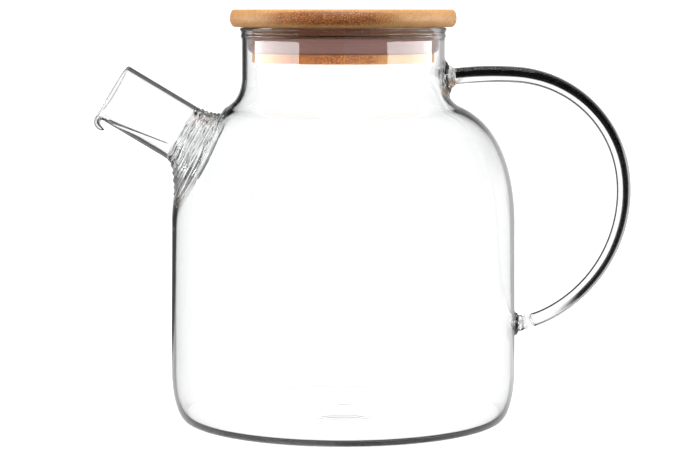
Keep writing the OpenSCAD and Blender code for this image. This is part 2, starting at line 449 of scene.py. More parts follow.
hs = HOLES["spout"]
rel = hs["out_pts"] - SPOUT
SP_PHI = np.unwrap(np.arctan2(rel[:, 1], rel @ SP_UP))
even = SP_PHI[0] + np.sign(SP_PHI[-1] - SP_PHI[0]) * np.arange(len(SP_PHI)) * 2 * math.pi / len(SP_PHI)
SP_PHI = 0.5 * SP_PHI + 0.5 * even


def wob(x, y, z=0.0):
    return noise.noise(Vector((x, y, z)))


def hermite(p0, t0, p1, t1, t):
    h00, h10 = 2 * t**3 - 3 * t**2 + 1, t**3 - 2 * t**2 + t
    h01, h11 = -2 * t**3 + 3 * t**2, t**3 - t**2
    return h00 * p0 + h10 * t0 + h01 * p1 + h11 * t1


def build_collar():
    b = Builder()
    n = 56
    loops = []
    for inner in (False, True):
        p0 = hs["in_pts"] if inner else hs["out_pts"]
        p1 = spout_point(SP_S0, SP_RI if inner else SP_R, SP_PHI)
        inward = -(np.cos(hs["phi"])[:, None] * SEAT_UP + np.sin(hs["phi"])[:, None] * EY)
        chord = (p1 - p0) / np.linalg.norm(p1 - p0, axis=1)[:, None]
        size = np.linalg.norm(p1 - p0, axis=1)[:, None]
        t0 = 0.55 * chord + 0.45 * inward
        t0 = t0 / np.linalg.norm(t0, axis=1)[:, None] * size * 0.9
        t1 = SP_D[None, :] * size * 0.75
        grid = []
        for k in range(n + 1):
            t = k / n
            p = hermite(p0, t0, p1, t1, t)
            streak = np.zeros(len(SP_PHI))
            if 0 < k < n:
                q = hermite(p0, t0, p1, t1, min(1, t + 0.01))
                along = q - p
                ring_dir = np.roll(p, -1, 0) - np.roll(p, 1, 0)
                nrm = np.cross(along, ring_dir)
                nrm /= np.linalg.norm(nrm, axis=1)[:, None]
                out = p - spout_point(SP_S0 * t, 0, 0)
                nrm *= np.sign((nrm * out).sum(1))[:, None]
                env = math.sin(math.pi * min(1, t * 1.02)) ** 0.6
                amp = np.empty(len(SP_PHI))
                for i, ph in enumerate(SP_PHI):
                    c, s = math.cos(ph), math.sin(ph)
                    phase = 0.32 * wob(2.1 * c + 9, 2.1 * s, 3.0 if inner else 0.0)
                    ripple = math.sin(2 * math.pi * (7.0 * t ** 0.85 + phase + (0.3 if inner else 0)))
                    rough = wob(4.5 * c, 4.5 * s + 5, 7.5 * t + (20 if inner else 0))
                    amp[i] = 0.27 * ripple + 0.33 * rough
                    # painted shade: dark streaks in the tint, drawn out along the rings, follow the real cords and
                    # folds of the hot glass and stand in for the shade seen in them
                    cord = math.sin(2 * math.pi * (9.0 * t + 1.6 * phase + 0.25 * inner + 0.2 * wob(3 * c, 3 * s, 5)))
                    patch = 0.55 + 0.9 * wob(2.6 * c + 3, 2.6 * s, 3.2 * t + 7 * inner)
                    blot = max(0.0, wob(3.4 * c + 11, 3.4 * s, 5.0 * t + 3 * inner) - 0.12)
                    streak[i] = max(0.0, cord - 0.4) * 1.7 * max(0.0, patch) + 1.6 * blot * (1 - t) ** 0.3
                    # painted shade: the collar's lower side is tinted darker
                    streak[i] += 0.42 * float(smooth(-c, 0.35, 1.0)) * (1 - 0.6 * t)
                p = p + nrm * (amp * env)[:, None]
            grid.append(b.add(p, np.clip(streak, 0, 1) * 0.85))
        for k in range(n):
            b.rings(grid[k], grid[k + 1])
        loops.append(grid)
    b.rings(loops[0][0], loops[1][0], 1)
    b.rings(loops[0][-1], loops[1][-1], 1)
    return b.build("spout_weld", [WELD, FUSED])


def build_spout():
    b = Builder()
    phi = SP_PHI
    low = np.abs(phi % (2 * math.pi) - math.pi)            # angle from the lowest line of the tube
    w = np.exp(-((low / 0.36) ** 2))
    mid, t0 = (SP_R + SP_RI) / 2, SP_R - SP_RI
    s_turn = 40.6
    straight = list(np.linspace(SP_S0, s_turn, 40))
    n = 30
    L = 2.7 + 4.9 * w
    t = np.linspace(0, 1, n + 1)
    # a quick turn outwards, then a short straight edge that points back at the pot
    bend = np.interp(t, [0, 0.08, 0.42, 0.66, 1], [0, 6, 88, 158, 166])
    s, r = np.full(len(phi), s_turn), np.full(len(phi), mid)
    path = [(s.copy(), r.copy(), 0 * w)]
    for k in range(1, n + 1):
        hmid = np.radians(0.5 * (bend[k - 1] + bend[k])) * w
        s, r = s + L / n * np.cos(hmid), r + L / n * np.sin(hmid)
        path.append((s.copy(), r.copy(), np.radians(bend[k]) * w))
    outer, inner = [], []
    for s_k in straight[:-1]:
        # a fine step in the bore runs up from the mouth's low side to the collar
        height = SP_RI * (1 + np.cos(phi)) - np.interp(s_k, [SP_S0, 41], [4.9, 0.0])
        fold = 0.34 * np.exp(-((height / 0.42) ** 2)) * smooth(s_k, SP_S0, SP_S0 + 2) * (1 - smooth(s_k, 37, 40.6))
        fold = fold + 0.16 * smooth(-height, 0, 0.5) * smooth(s_k, SP_S0, SP_S0 + 4) * (1 - smooth(s_k, 30, 40.6))
        outer.append(b.add(spout_point(s_k, SP_R, phi)))
        inner.append(b.add(spout_point(s_k, SP_RI - fold, phi)))
    for k, (s, r, hd) in enumerate(path):
        half = (t0 / 2) * (1 - 0.68 * w * (k / n) ** 0.6)
        outer.append(b.add(spout_point(s - np.sin(hd) * half, r + np.cos(hd) * half, phi)))
        inner.append(b.add(spout_point(s + np.sin(hd) * half, r - np.cos(hd) * half, phi)))
    # round end
    prev = outer[-1]
    for a in np.radians([25, 50, 75, 90, 105, 130, 155]):
        c1, c2 = math.cos(a) * half, math.sin(a) * half
        # painted shade: the fire-polished edge is tinted darker than the wall
        nxt = b.add(spout_point(s - np.sin(hd) * c1 + np.cos(hd) * c2, r + np.cos(hd) * c1 + np.sin(hd) * c2, phi), 0.55)
        b.rings(prev, nxt)
        prev = nxt
    b.rings(prev, inner[-1])
    for k in range(len(outer) - 1):
        b.rings(outer[k], outer[k + 1])
        b.rings(inner[k], inner[k + 1])
    b.rings(outer[0], inner[0], 1)
    return b.build("spout_tube_glass", GLASS)


# ------------------------------------------------------------------ handle
def tube_frame(heading):
    h = math.radians(heading)
    return np.array([math.cos(h), 0, math.sin(h)]), np.array([-math.sin(h), 0, math.cos(h)])


PHI_U = HOLES["upper"]["phi"]
PHI_L = HOLES["lower"]["phi"]
NH = len(PHI_U)
assert len(PHI_L) == NH


def build_foot(name, h, end, heading, tube_r, flare):
    """A solid trumpet that takes over the wall inside its loop and ends square to the tube."""
    b = Builder()
    axis, up = tube_frame(heading)
    phi = h["phi"]
    p0 = h["out_pts"]
    p1 = end + tube_r * (np.cos(phi)[:, None] * up + np.sin(phi)[:, None] * EY)
    size = np.linalg.norm(p1 - p0, axis=1)[:, None]
    radial = -(np.cos(phi)[:, None] * up + np.sin(phi)[:, None] * EY)
    t0, t1 = radial * size * 1.15, axis[None, :] * size * 1.1
    n = 26
    grid = []
    for k in range(n + 1):
        t = k / n
        p = hermite(p0, t0, p1, t1, t)
        streak = np.zeros(len(phi))
        if 0 < k < n:
            env = math.sin(math.pi * t) ** 0.7
            out = -radial
            for i, ph in enumerate(phi):
                ripple = math.sin(2 * math.pi * (3.3 * t + 0.25 * wob(2 * math.cos(ph), 2 * math.sin(ph), flare)))
                rough = wob(3 * math.cos(ph) + flare, 3 * math.sin(ph), 6 * t)
                p[i] += (out[i] * 0.7 + axis * 0.7) * (0.17 * ripple + 0.2 * rough) * env
                # painted shade: dark streaks in the tint, with the ripples, stand in for the shade seen in the weld,
                # and the tint is darker towards the pot
                cord = math.sin(2 * math.pi * (4.2 * t + 0.3 * wob(2 * math.cos(ph), 2 * math.sin(ph), flare + 4)))
                blot = max(0.0, wob(2.4 * math.cos(ph) + flare, 2.4 * math.sin(ph), 5 * t) - 0.1)
                streak[i] = 0.16 * (1 - t) + max(0.0, cord - 0.25) * 1.7 + 2.6 * blot
                streak[i] += 1.1 * max(0.0, wob(3 * math.cos(ph), 3 * math.sin(ph) + flare, 7 * t)) * float(smooth(t, 0.45, 0.75))
        grid.append(b.add(p, np.clip(streak, 0, 1) * 0.8))
    for k in range(n):
        b.rings(grid[k], grid[k + 1])
    # inner side of the wall
    lth, lv = h["loop_in"]
    inner = b.add(h["in_pts"])
    b.rings(grid[0], inner, 1)
    cth = float(np.mean(np.where(lth > math.pi, lth - 2 * math.pi, lth)))
    cv = float(np.mean(lv))
    lth = np.where(lth > math.pi, lth - 2 * math.pi, lth)
    ring = inner
    for t in (0.8, 0.6, 0.4, 0.2):
        nxt = b.add(surface(cth + (lth - cth) * t, cv + (lv - cv) * t, inner=True))
        b.rings(ring, nxt)
        ring = nxt
    b.fan(ring, b.add(surface(cth, cv, inner=True))[0])
    # the end where the tube goes on
    ring = grid[-1]
    for t in (0.66, 0.33):
        nxt = b.add(end + (p1 - end) * t)
        b.rings(ring, nxt, 1)
        ring = nxt
    b.fan(ring, b.add(end)[0], 1)
    return b.build(name, [WELD, FUSED])


def build_handle():
    b = Builder()
    # cross-section angles: the upper foot's at the start, the lower foot's at the end
    start = PHI_U.copy()
    end = math.pi - PHI_L                       # the lower foot's frame is upside down
    order = np.arange(NH)
    if np.sign(end[-1] - end[0]) != np.sign(start[-1] - start[0]):
        order = order[::-1]
    end = np.unwrap(end[order])
    shift = int(np.argmin(abs((end - start[0] + math.pi) % (2 * math.pi) - math.pi)))
    end = np.unwrap(np.roll(end, -shift))
    end += 2 * math.pi * round((start[0] - end[0]) / (2 * math.pi))
    rings = []
    total = HL[-1]
    for p, hd, l in zip(HP, HH, HL):
        _, up = tube_frame(hd)
        t = smooth(l, 0.35 * total, 0.65 * total)
        phi = start + (end - start) * t
        r = float(handle_radius(l))
        # the melted ends of the tube are a little dull
        dull = (0.16 * math.exp(-((total - 2.2 - l) / 1.6) ** 2) + 0.18 * math.exp(-((l - 0.4) / 1.2) ** 2)) \
            * (1 + 1.6 * np.sin(2 * phi + 3.0 * l)) * (1 + np.sin(phi * 3 + 1.3))
        dull = np.clip(dull, 0, 0.7)
        rings.append((b.add(p + r * (np.cos(phi)[:, None] * up + np.sin(phi)[:, None] * EY), dull), phi))
    for k in range(len(rings) - 1):
        b.rings(rings[k][0], rings[k + 1][0])
    for which, p in ((0, HP[0]), (-1, HP[-1])):
        ring = rings[which][0]
        pts = np.array([b.v[i] for i in ring])
        for t in (0.66, 0.33):
            nxt = b.add(p + (pts - p) * t)
            b.rings(ring, nxt, 1)
            ring = nxt
        b.fan(ring, b.add(p)[0], 1)
    first_bore = len(b.v)
    # the bore, closed and rounded at both ends
    wall = 0.8
    a0, a1 = -1.7, total - 1.4
    ax0 = tube_frame(H_HEAD)[0]

    def on_line(x):
        return HP[0] + ax0 * x if x < 0 else np.array([np.interp(x, HL, HP[:, c]) for c in range(3)])

    ls = np.concatenate([a0 + 1.1 * (1 - np.cos(np.linspace(0.12, math.pi / 2, 9))),
                         np.arange(a0 + 2, a1 - 4, 1.5),
                         a1 - 2.4 * (1 - np.cos(np.linspace(math.pi / 2, 0.12, 9)))])
    prev = None
    for l in ls:
        p = on_line(l)
        _, up = tube_frame(float(np.interp(l, HL, HH)))
        r = float(handle_radius(l)) - wall
        x = min((l - a0) / 1.1, (a1 - l) / 2.4)
        r *= math.sqrt(max(0.0, 1 - (1 - min(1, x)) ** 2))
        phi = np.arange(NH) * 2 * math.pi / NH
        s, w = np.cos(phi), np.abs(np.sin(phi))
        fade = smooth(l, a0 - 0.6, a0 + 0.5) * (1 - 0.9 * smooth(l, total - 24, total - 9))
        edge = float(np.interp(l, [0, 30, 60, 75, 90, 105, 125, 140, 152, 160],
                               [-0.32, -0.36, -0.27, -0.16, -0.10, -0.03, 0.06, 0.02, 0.22, 0.5]))
        # painted shade: the outer side of the bore is tinted near black, standing in for the dark flags the solid rod
        # would refract
        painted_shade_and_tint = smooth(s, edge - 0.07, edge + 0.07) * smooth(w, 0.06, 0.22) * fade
        nxt = b.add(p + r * (np.cos(phi)[:, None] * up + np.sin(phi)[:, None] * EY), painted_shade_and_tint)
        if prev is None:
            b.fan(nxt, b.add(on_line(a0))[0])
        else:
            b.rings(prev, nxt)
        prev = nxt
    b.fan(prev, b.add(on_line(a1))[0])
    flip = np.zeros(len(b.v), bool)
    flip[first_bore:] = True
    return b.build("handle_loop", [TUBE, FUSED], flip=flip)


body = build_body()
collar = build_collar()
spout = build_spout()
foot_u = build_foot("handle_upper_weld", HOLES["upper"], HP[0], HH[0], float(handle_radius(0)), 3.0)
foot_l = build_foot("handle_lower_weld", HOLES["lower"], HP[-1], HH[-1] + 180, float(handle_radius(HL[-1])), 8.0)
loop = build_handle()


# ------------------------------------------------------------------ lathe parts of the lid
def lathe(name, pts, mats, n=256, wobble=0.0, seed=0.0, painted_shade=None):
    b = Builder()
    th = np.arange(n) * 2 * math.pi / n
    pts = np.array(pts, float)
    closed = pts[0][0] > 1e-6
    rings = []
    for r, z in pts:
        if r < 1e-6:
            rings.append(b.add([(0, 0, z)]) * n)
            continue
        rr = np.array([r + wobble * wob(1.6 * math.cos(t), 1.6 * math.sin(t), z * 0.4 + seed) for t in th])
        shade = painted_shade(r, z) if painted_shade else 0.0
        rings.append(b.add(np.stack([rr * np.cos(th), rr * np.sin(th), z + 0 * th], 1), shade))
    for k in range(len(rings) - 1 + closed):
        b.rings(rings[k], rings[(k + 1) % len(rings)])
    return b.build(name, mats)


def arc(cx, cz, r, a0, a1, n):
    a = np.radians(np.linspace(a0, a1, n))
    return [(cx + r * math.cos(t), cz + r * math.sin(t)) for t in a]


def along(a, b, n):
    return [(a[0] + (b[0] - a[0]) * t, a[1] + (b[1] - a[1]) * t) for t in np.linspace(0, 1, n + 1)[:-1]]


LID_Z, LID_T, LID_R = 160.4, 7.0, 46.0
PLUG_R, GROOVE_R = 37.0, 34.4
GT, GH, PL = 3.8, 6.8, 14.4


def bamboo_material():
    m, nt = new_material("bamboo")
    out = nt.nodes.new("ShaderNodeOutputMaterial")
    b = nt.nodes.new("ShaderNodeBsdfPrincipled")
    nt.links.new(b.outputs[0], out.inputs["Surface"])
    b.inputs["IOR"].default_value = 1.5
    b.inputs["Specular IOR Level"].default_value = 0.32
    pos = nt.nodes.new("ShaderNodeTexCoord")
    L = nt.links.new

    def mapping(scale, rot=math.radians(9), loc=(0, 0, 0)):
        mp = nt.nodes.new("ShaderNodeMapping")
        mp.inputs["Rotation"].default_value = (0, 0, rot)
        mp.inputs["Scale"].default_value = scale
        mp.inputs["Location"].default_value = loc
        L(pos.outputs["Object"], mp.inputs["Vector"])
        return mp

    def math_node(op, a=None, b_=None, c=None, clamp=False):
        n = nt.nodes.new("ShaderNodeMath")
        n.operation = op
        n.use_clamp = clamp
        for k, x in enumerate((a, b_, c)):
            if x is None:
                continue
            if isinstance(x, (int, float)):
                n.inputs[k].default_value = x
            else:
                L(x, n.inputs[k])
        return n.outputs[0]

    def remap(x, a0, a1, b0=0.0, b1=1.0):
        n = nt.nodes.new("ShaderNodeMapRange")
        n.interpolation_type = "SMOOTHSTEP"
        L(x, n.inputs[0])
        for k, val in enumerate((a0, a1, b0, b1)):
            n.inputs[k + 1].default_value = val
        return n.outputs[0]

    def mix(fac, a, c):
        n = nt.nodes.new("ShaderNodeMix")
        n.data_type = "RGBA"
        for k, x in ((0, fac), (6, a), (7, c)):
            if isinstance(x, (int, float)):
                n.inputs[k].default_value = x
            elif isinstance(x, tuple):
                n.inputs[k].default_value = (*x, 1)
            else:
                L(x, n.inputs[k])
        return n.outputs[2]

    # how squarely a face cuts the fibres, from the surface's own normal
    geo = nt.nodes.new("ShaderNodeNewGeometry")
    dot = nt.nodes.new("ShaderNodeVectorMath")
    dot.operation = "DOT_PRODUCT"
    g = math.radians(9)
    dot.inputs[1].default_value = (math.sin(g), math.cos(g), 0)
    tr = nt.nodes.new("ShaderNodeVectorTransform")
    tr.vector_type, tr.convert_from, tr.convert_to = "NORMAL", "WORLD", "OBJECT"
    L(geo.outputs["True Normal"], tr.inputs[0])
    L(tr.outputs[0], dot.inputs[0])
    cut = math_node("ABSOLUTE", dot.outputs["Value"])
    end = remap(cut, 0.74, 0.95)

    # strips glued side by side
    strips = nt.nodes.new("ShaderNodeTexVoronoi")
    strips.voronoi_dimensions = "1D"
    strips.feature = "F1"
    sep = nt.nodes.new("ShaderNodeSeparateXYZ")
    L(mapping((1, 1, 1)).outputs[0], sep.inputs[0])
    row = math_node("FLOOR", math_node("MULTIPLY", sep.outputs["Z"], 1 / 0.0105))
    col = math_node("ADD", math_node("MULTIPLY", sep.outputs["X"], 1 / 0.019), math_node("MULTIPLY", row, 0.37))
    cell = math_node("FLOOR", col)
    white = nt.nodes.new("ShaderNodeTexWhiteNoise")
    white.noise_dimensions = "2D"
    comb = nt.nodes.new("ShaderNodeCombineXYZ")
    L(cell, comb.inputs[0])
    L(row, comb.inputs[1])
    L(comb.outputs[0], white.inputs["Vector"])
    strip_tone = white.outputs["Value"]
    frac = math_node("SUBTRACT", col, cell)
    glue = remap(math_node("ABSOLUTE", math_node("SUBTRACT", frac, 0.5)), 0.485, 0.5)

    # fibre bundles: long streaks along the grain, rounded cells where it is cut across
    vor = node(nt, "ShaderNodeTexVoronoi", Scale=1.0, Randomness=0.9)
    vor.feature = "DISTANCE_TO_EDGE"
    L(mapping((900, 16, 1550)).outputs[0], vor.inputs["Vector"])
    wall = remap(vor.outputs["Distance"], 0.02, 0.24)
    vor2 = node(nt, "ShaderNodeTexVoronoi", Scale=1.0, Randomness=0.9)
    vor2.feature = "F1"
    L(mapping((900, 16, 1550)).outputs[0], vor2.inputs["Vector"])
    tone = nt.nodes.new("ShaderNodeSeparateColor")
    L(vor2.outputs["Color"], tone.inputs[0])
    streak = node(nt, "ShaderNodeTexNoise", Scale=1.0, Detail=5.0, Roughness=0.62)
    L(mapping((1500, 22, 1500)).outputs[0], streak.inputs["Vector"])
    broad = node(nt, "ShaderNodeTexNoise", Scale=1.0, Detail=2.0, Roughness=0.5)
    L(mapping((120, 9, 120)).outputs[0], broad.inputs["Vector"])

    light, mid, dark = (0.84, 0.48, 0.18), (0.64, 0.285, 0.085), (0.20, 0.065, 0.016)
    base = mix(remap(broad.outputs["Fac"], 0.3, 0.7), light, (0.74, 0.375, 0.125))
    base = mix(math_node("MULTIPLY", strip_tone, 0.45), base, mid)
    base = mix(math_node("MULTIPLY", remap(streak.outputs["Fac"], 0.45, 0.75), 0.55), base, (0.44, 0.17, 0.045))
    fibres = math_node("MULTIPLY", math_node("SUBTRACT", 1.0, wall), 0.35)
    base = mix(fibres, base, (0.47, 0.19, 0.055))
    # end grain: darker ground, pale bundles
    ends = mix(wall, (0.18, 0.042, 0.006), mix(tone.outputs[0], (0.56, 0.155, 0.017), (0.76, 0.265, 0.047)))
    base = mix(math_node("MULTIPLY", end, 0.9), base, ends)
    base = mix(math_node("MULTIPLY", glue, 0.16), base, dark)
    # painted shade: the shoulder of the plug above the ring is darkened where the lid shades it
    at = nt.nodes.new("ShaderNodeAttribute")
    at.attribute_name = "painted_shade_and_tint"
    base = mix(at.outputs["Fac"], base, (0.03, 0.010, 0.004))
    L(base, b.inputs["Base Color"])
    rough = math_node("ADD", 0.34, math_node("MULTIPLY", streak.outputs["Fac"], 0.22))
    L(rough, b.inputs["Roughness"])
    bump = nt.nodes.new("ShaderNodeBump")
    bump.inputs["Strength"].default_value = 0.35
    bump.inputs["Distance"].default_value = 0.00012
    height = math_node("ADD", math_node("MULTIPLY", wall, 0.5), math_node("MULTIPLY", streak.outputs["Fac"], 0.7))
    L(height, bump.inputs["Height"])
    L(bump.outputs["Normal"], b.inputs["Normal"])
    return m


def silicone_material():
    m, nt = new_material("silicone")
    out = nt.nodes.new("ShaderNodeOutputMaterial")
    b = nt.nodes.new("ShaderNodeBsdfPrincipled")
    nt.links.new(b.outputs[0], out.inputs["Surface"])
    b.inputs["IOR"].default_value = 1.41
    b.inputs["Transmission Weight"].default_value = 0.45
    pos = nt.nodes.new("ShaderNodeTexCoord")
    n1 = node(nt, "ShaderNodeTexNoise", Scale=240.0, Detail=4.0, Roughness=0.6)
    nt.links.new(pos.outputs["Object"], n1.inputs["Vector"])
    mix = nt.nodes.new("ShaderNodeMix")
    mix.data_type = "RGBA"
    mix.inputs[6].default_value = (0.35, 0.158, 0.132, 1)
    mix.inputs[7].default_value = (0.41, 0.205, 0.175, 1)
    nt.links.new(n1.outputs["Fac"], mix.inputs[0])
    nt.links.new(mix.outputs[2], b.inputs["Base Color"])
    rr = nt.nodes.new("ShaderNodeMapRange")
    rr.inputs[3].default_value, rr.inputs[4].default_value = 0.28, 0.42
    nt.links.new(n1.outputs["Fac"], rr.inputs[0])
    nt.links.new(rr.outputs[0], b.inputs["Roughness"])
    bump = nt.nodes.new("ShaderNodeBump")
    bump.inputs["Strength"].default_value = 0.15
    bump.inputs["Distance"].default_value = 0.0001
    nt.links.new(n1.outputs["Fac"], bump.inputs["Height"])
    nt.links.new(bump.outputs["Normal"], b.inputs["Normal"])
    return m


BAMBOO, SILICONE = bamboo_material(), silicone_material()

disc_pts = ([(0, 0)] + [(r, 0) for r in (12, 24, 34, 40, 43)]
            + [(LID_R - 2.1 + 2.1 * math.cos(t), 3.3 + 3.3 * math.sin(t)) for t in np.radians(np.linspace(-90, 0, 14))]
            + [(LID_R - 1.6 + 1.6 * math.cos(t), 3.3 + (LID_T - 3.3) * math.sin(t))
               for t in np.radians(np.linspace(0, 90, 16))[1:]]
            + [(r, LID_T) for r in (44, 40, 34, 24, 12)] + [(0, LID_T)])
disc = lathe("bamboo_disc", [(r, z + LID_Z) for r, z in disc_pts], [BAMBOO], wobble=0.05)
g0 = 0.25
plug_pts = ([(0, 0)] + [(r, 0) for r in (12, 24, 34)] + [(PLUG_R, 0), (PLUG_R, -GT + g0)]
            + arc(PLUG_R - g0, -GT + g0, g0, 0, -90, 4)[1:] + [(GROOVE_R + 0.1, -GT), (GROOVE_R, -GT - 0.1)]
            + along((GROOVE_R, -GT - 0.2), (GROOVE_R, -GT - GH + 0.1), 4) + [(GROOVE_R + 0.1, -GT - GH)]
            + arc(PLUG_R - g0, -GT - GH - g0, g0, 90, 0, 4)
            + arc(PLUG_R - 0.6, -PL + 0.6, 0.6, 0, -90, 6) + [(r, -PL) for r in (34, 24, 12)] + [(0, -PL)])
# painted shade on the plug's upper band, above the ring
plug = lathe("bamboo_plug", [(r, z + LID_Z) for r, z in plug_pts], [BAMBOO], wobble=0.03, seed=4,
             painted_shade=lambda r, z: 0.72 if z > LID_Z - GT - 0.3 and r > 36 else 0.0)
s_lo, s_hi = LID_Z - GT - GH + 0.15, LID_Z - GT - 0.15
ro, si = RI - 0.15, GROOVE_R + 0.15
seal_pts = ([(si, s_lo + 0.3), (si + 0.3, s_lo)] + along((si + 0.8, s_lo), (ro - 2.6, s_lo), 3)
            + arc(ro - 2.6, s_lo + 2.6, 2.6, -90, -4, 10)
            + [(ro, s_lo + 3.3), (ro - 0.16, s_lo + 3.62), (ro, s_lo + 3.95), (ro, s_lo + 4.7),
               (ro - 0.16, s_lo + 5.02), (ro, s_lo + 5.35)]
            + arc(ro - 0.45, s_hi - 0.45, 0.45, 0, 90, 5) + [(ro - 1.5, s_hi), (si + 0.3, s_hi), (si, s_hi - 0.3),
                                                          (si, (s_lo + s_hi) / 2)])
seal = lathe("silicone_ring", seal_pts, [SILICONE])

# ------------------------------------------------------------------ stage
def flagged(nt, lp):
    """1 for a ray that was mirrored inside a glass wall and left it again without crossing the pot."""
    def cmp(op, socket, value):
        n = nt.nodes.new("ShaderNodeMath")
        n.operation = op
        nt.links.new(socket, n.inputs[0])
        if isinstance(value, float):
            n.inputs[1].default_value = value
        else:
            nt.links.new(value, n.inputs[1])
        return n.outputs[0]

    a = cmp("GREATER_THAN", lp.outputs["Glossy Depth"], 0.5)
    c = cmp("LESS_THAN", lp.outputs["Transmission Depth"], 2.5)
    return cmp("MULTIPLY", cmp("MULTIPLY", a, c), lp.outputs["Is Transmission Ray"])


def floor_material():
    m, nt = new_material("stage_floor")
    L = nt.links.new
    out = nt.nodes.new("ShaderNodeOutputMaterial")
    lp = nt.nodes.new("ShaderNodeLightPath")
    dif = node(nt, "ShaderNodeBsdfDiffuse")
    dif.inputs["Color"].default_value = (0.86, 0.86, 0.86, 1)
    glow = node(nt, "ShaderNodeEmission", Strength=0.58)
    add = nt.nodes.new("ShaderNodeAddShader")
    L(dif.outputs[0], add.inputs[0])
    L(glow.outputs[0], add.inputs[1])
    # what lights the object from below is dimmer, as with dark flags round a light table
    dim = node(nt, "ShaderNodeEmission", Strength=0.2)
    m1 = nt.nodes.new("ShaderNodeMixShader")
    L(lp.outputs["Is Diffuse Ray"], m1.inputs[0])
    L(add.outputs[0], m1.inputs[1])
    L(dim.outputs[0], m1.inputs[2])
    # seen through the glass it is as white as the wall behind
    clear = node(nt, "ShaderNodeEmission", Strength=1.16)
    lit = nt.nodes.new("ShaderNodeMapRange")
    L(lp.outputs["Diffuse Depth"], lit.inputs[0])
    for k, val in enumerate((0.4, 0.6, 1.16, 2.2)):
        lit.inputs[k + 1].default_value = val
    L(lit.outputs[0], clear.inputs["Strength"])
    m3 = nt.nodes.new("ShaderNodeMixShader")
    L(lp.outputs["Is Transmission Ray"], m3.inputs[0])
    L(clear.outputs[0], m3.inputs[2])
    # light that ran along inside a glass wall comes from the dark flags at the sides
    along = flagged(nt, lp)
    pos = nt.nodes.new("ShaderNodeNewGeometry")
    sep = nt.nodes.new("ShaderNodeSeparateXYZ")
    L(pos.outputs["Position"], sep.inputs[0])

    def calc(op, a, b=None):
        n = nt.nodes.new("ShaderNodeMath")
        n.operation = op
        for k, x in enumerate((a, b)):
            if isinstance(x, float):
                n.inputs[k].default_value = x
            elif x is not None:
                L(x, n.inputs[k])
        return n.outputs[0]

    def ease(x, a0, a1, b0, b1):
        n = nt.nodes.new("ShaderNodeMapRange")
        n.interpolation_type = "SMOOTHSTEP"
        L(x, n.inputs[0])
        for k, val in enumerate((a0, a1, b0, b1)):
            n.inputs[k + 1].default_value = val
        return n.outputs[0]

    # mirrored in the glass, the far floor shows the same dark flags as the wall above it
    far = nt.nodes.new("ShaderNodeVectorMath")
    far.operation = "LENGTH"
    L(pos.outputs["Position"], far.inputs[0])
    ahead = calc("DIVIDE", sep.outputs["Y"], far.outputs["Value"])
    flags = calc("MAXIMUM", ease(ahead, 0.76, 0.84, 1.0, 0.1), ease(ahead, 0.915, 0.96, 0.0, 0.8))
    flags = calc("MAXIMUM", flags, ease(sep.outputs["X"], 0.08, 0.12, 0.0, 0.45))
    flags = calc("MULTIPLY", flags, ease(ahead, -0.5, 0.2, 0.26, 0.96))
    near = ease(far.outputs["Value"], 0.12, 0.3, 1.0, 0.0)
    flags = calc("MAXIMUM", flags, calc("MULTIPLY", near, 0.9))
    mirror = node(nt, "ShaderNodeEmission", Strength=1.0)
    L(flags, mirror.inputs["Strength"])
    m4 = nt.nodes.new("ShaderNodeMixShader")
    L(lp.outputs["Is Glossy Ray"], m4.inputs[0])
    L(m1.outputs[0], m4.inputs[1])
    L(mirror.outputs[0], m4.inputs[2])
    L(m4.outputs[0], m3.inputs[1])
    rng_ = nt.nodes.new("ShaderNodeMapRange")
    rng_.inputs[1].default_value, rng_.inputs[2].default_value = 0.06, 0.12
    rng_.inputs[3].default_value, rng_.inputs[4].default_value = 0.03, 0.5
    L(sep.outputs["X"], rng_.inputs[0])
    dark = node(nt, "ShaderNodeEmission", Strength=1.0)
    L(rng_.outputs[0], dark.inputs["Strength"])
    m2 = nt.nodes.new("ShaderNodeMixShader")
    L(along, m2.inputs[0])
    L(m3.outputs[0], m2.inputs[1])
    L(dark.outputs[0], m2.inputs[2])
    L(m2.outputs[0], out.inputs["Surface"])
    return m


fb = Builder()
ring = fb.add([(0, 0, -0.25)]) * 64
for r in (60, 90, 140, 250, 500, 1000, 3000, 9000, 20000):
    a = np.arange(64) * 2 * math.pi / 64
    nxt = fb.add(np.stack([r * np.cos(a), r * np.sin(a), 0 * a - 0.25], 1))
    fb.rings(ring, nxt)
    ring = nxt
floor = fb.build("floor", [floor_material()])

world = bpy.data.worlds.new("world")
scene.world = world
world.use_nodes = True
wt = world.node_tree
wt.nodes.clear()
W = wt.links.new
wout = wt.nodes.new("ShaderNodeOutputWorld")
lp = wt.nodes.new("ShaderNodeLightPath")


def background(strength, colour=(1, 1, 1, 1)):
    n = wt.nodes.new("ShaderNodeBackground")
    n.inputs["Color"].default_value = colour
    n.inputs["Strength"].default_value = strength
    return n


def wmix(fac, a, b):
    n = wt.nodes.new("ShaderNodeMixShader")
    W(fac, n.inputs[0])
    W(a.outputs[0], n.inputs[1])
    W(b.outputs[0], n.inputs[2])
    return n


seen, fill, mirrored, inside_ = background(1.2), background(0.55), background(0.9), background(0.10)
lit = wt.nodes.new("ShaderNodeMapRange")          # light that reaches the plug and ring through the glass
W(lp.outputs["Diffuse Depth"], lit.inputs[0])
lit.inputs[1].default_value, lit.inputs[2].default_value = 0.4, 0.6
lit.inputs[3].default_value, lit.inputs[4].default_value = 1.2, 2.2
W(lit.outputs[0], seen.inputs["Strength"])
# the studio's white wall is behind the pot; the side that the camera stands on is greyer
tc = wt.nodes.new("ShaderNodeTexCoord")
sx = wt.nodes.new("ShaderNodeSeparateXYZ")
W(tc.outputs["Generated"], sx.inputs[0])


def wrange(socket, a0, a1, b0, b1):
    n = wt.nodes.new("ShaderNodeMapRange")
    n.interpolation_type = "SMOOTHSTEP"
    W(socket, n.inputs[0])
    for k, val in enumerate((a0, a1, b0, b1)):
        n.inputs[k + 1].default_value = val
    return n.outputs[0]


